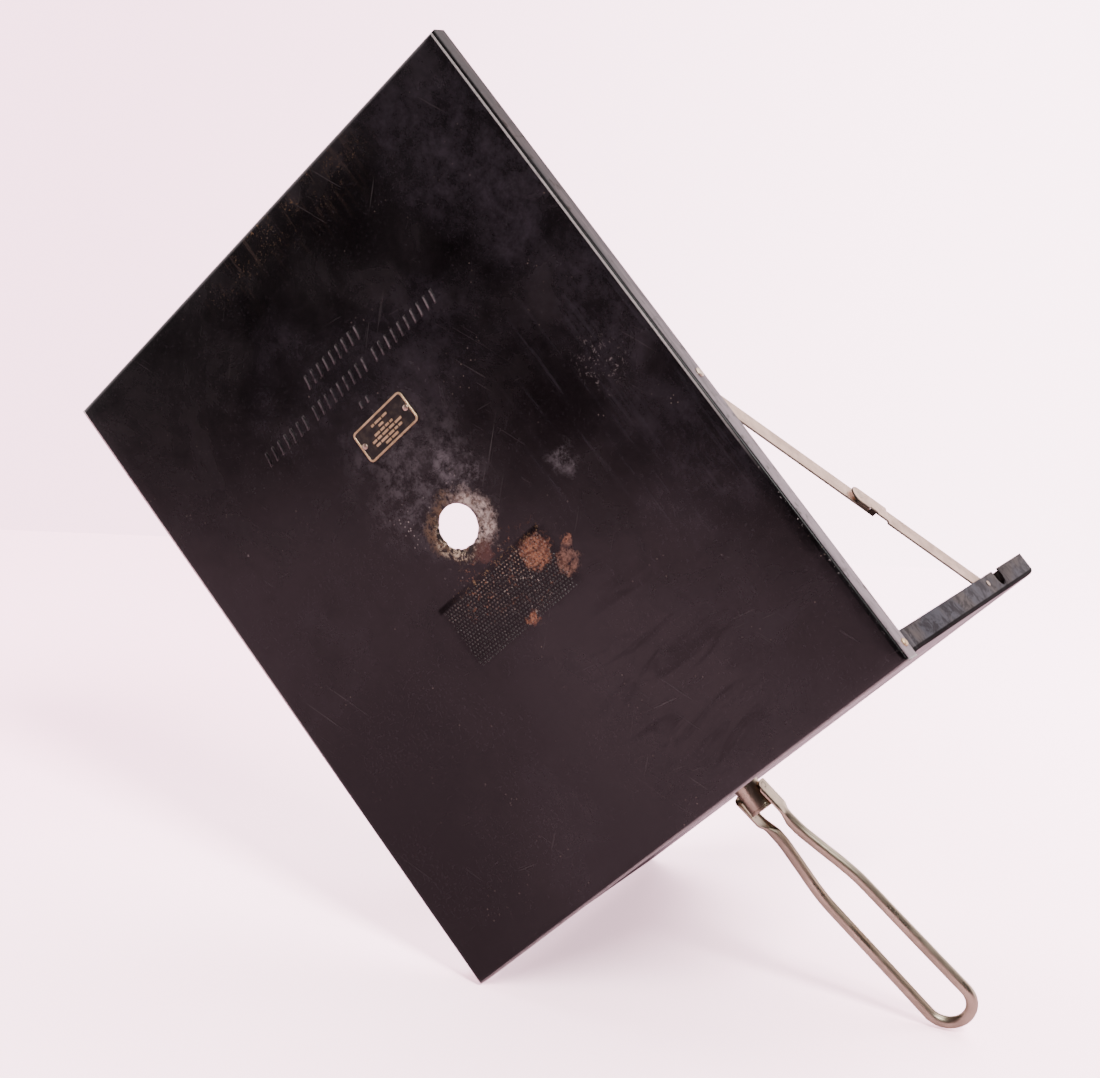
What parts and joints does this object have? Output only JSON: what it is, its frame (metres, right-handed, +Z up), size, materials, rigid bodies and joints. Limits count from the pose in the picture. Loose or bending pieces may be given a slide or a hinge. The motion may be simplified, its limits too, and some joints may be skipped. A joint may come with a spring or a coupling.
{
  "type": "folding flash sheet holder",
  "caption": "Upright sheet-metal pan with a match hole, a shield pan hinged below it on two rule-jointed stays, and a rolled loop handle swinging on a tripod bush.",
  "frame": {"origin": "centre of the tripod bush's mouth, under the hinged shield", "axes": "+X to the operator's right, +Y away from the operator, +Z up, the upright pan standing in the XZ plane"},
  "size_m": [0.2048, 0.1437, 0.3642],
  "materials": {
    "black_enamel": "worn black japanned enamel, semi-gloss",
    "nickel": "aged nickel plate, warm and slightly dull",
    "brass": "tarnished brass"
  },
  "bodies": {
    "pan": {"main_pan": "black_enamel", "nameplate": "brass", "nameplate_rivets": "brass", "hinge_rivet_left": "brass", "hinge_rivet_right": "brass", "stay_spacer_left": "nickel", "stay_spacer_right": "nickel", "pan_stay_rivet_left": "nickel", "pan_stay_rivet_right": "nickel"},
    "shield": {"shield_pan": "black_enamel", "shield_stay_rivet_left": "nickel", "shield_stay_rivet_right": "nickel", "tripod_bush": "nickel"},
    "upper_stay_left": {"upper_link_left": "nickel", "rule_rivet_inner_left": "nickel"},
    "upper_stay_right": {"upper_link_right": "nickel", "rule_rivet_inner_right": "nickel"},
    "lower_stay_left": {"lower_link_left": "nickel", "rule_rivet_outer_left": "nickel"},
    "lower_stay_right": {"lower_link_right": "nickel", "rule_rivet_outer_right": "nickel"},
    "handle": {"handle": "nickel"}
  },
  "joints": [
    {"name": "shield_fold", "type": "hinge", "parent": "pan", "child": "shield", "pos_m": [0, -0.05094, 0.0145], "axis": [1, 0, 0], "range_deg": [0, 89.25]},
    {"name": "upper_stay_left_fold", "type": "hinge", "parent": "pan", "child": "upper_stay_left", "pos_m": [-0.0975, -0.051, 0.12035], "axis": [1, 0, 0], "range_deg": [-42.58, 0]},
    {"name": "lower_stay_left_fold", "type": "hinge", "parent": "shield", "child": "lower_stay_left", "pos_m": [-0.09835, 0.04189, 0.01691], "axis": [1, 0, 0], "range_deg": [0, 49.55]},
    {"name": "upper_stay_right_fold", "type": "hinge", "parent": "pan", "child": "upper_stay_right", "pos_m": [0.0975, -0.051, 0.12035], "axis": [1, 0, 0], "range_deg": [-42.58, 0]},
    {"name": "lower_stay_right_fold", "type": "hinge", "parent": "shield", "child": "lower_stay_right", "pos_m": [0.09835, 0.04189, 0.01691], "axis": [1, 0, 0], "range_deg": [0, 49.55]},
    {"name": "handle_swing", "type": "hinge", "parent": "shield", "child": "handle", "pos_m": [0, -0.00009, 0.00696], "axis": [1, 0, 0], "range_deg": [-14, 75]}
  ],
  "couplings": [
    {"joint": "upper_stay_left_fold", "follows": "shield_fold", "ratio": -0.4765},
    {"joint": "lower_stay_left_fold", "follows": "shield_fold", "ratio": 0.55461},
    {"joint": "upper_stay_right_fold", "follows": "shield_fold", "ratio": -0.4765},
    {"joint": "lower_stay_right_fold", "follows": "shield_fold", "ratio": 0.55461}
  ]
}
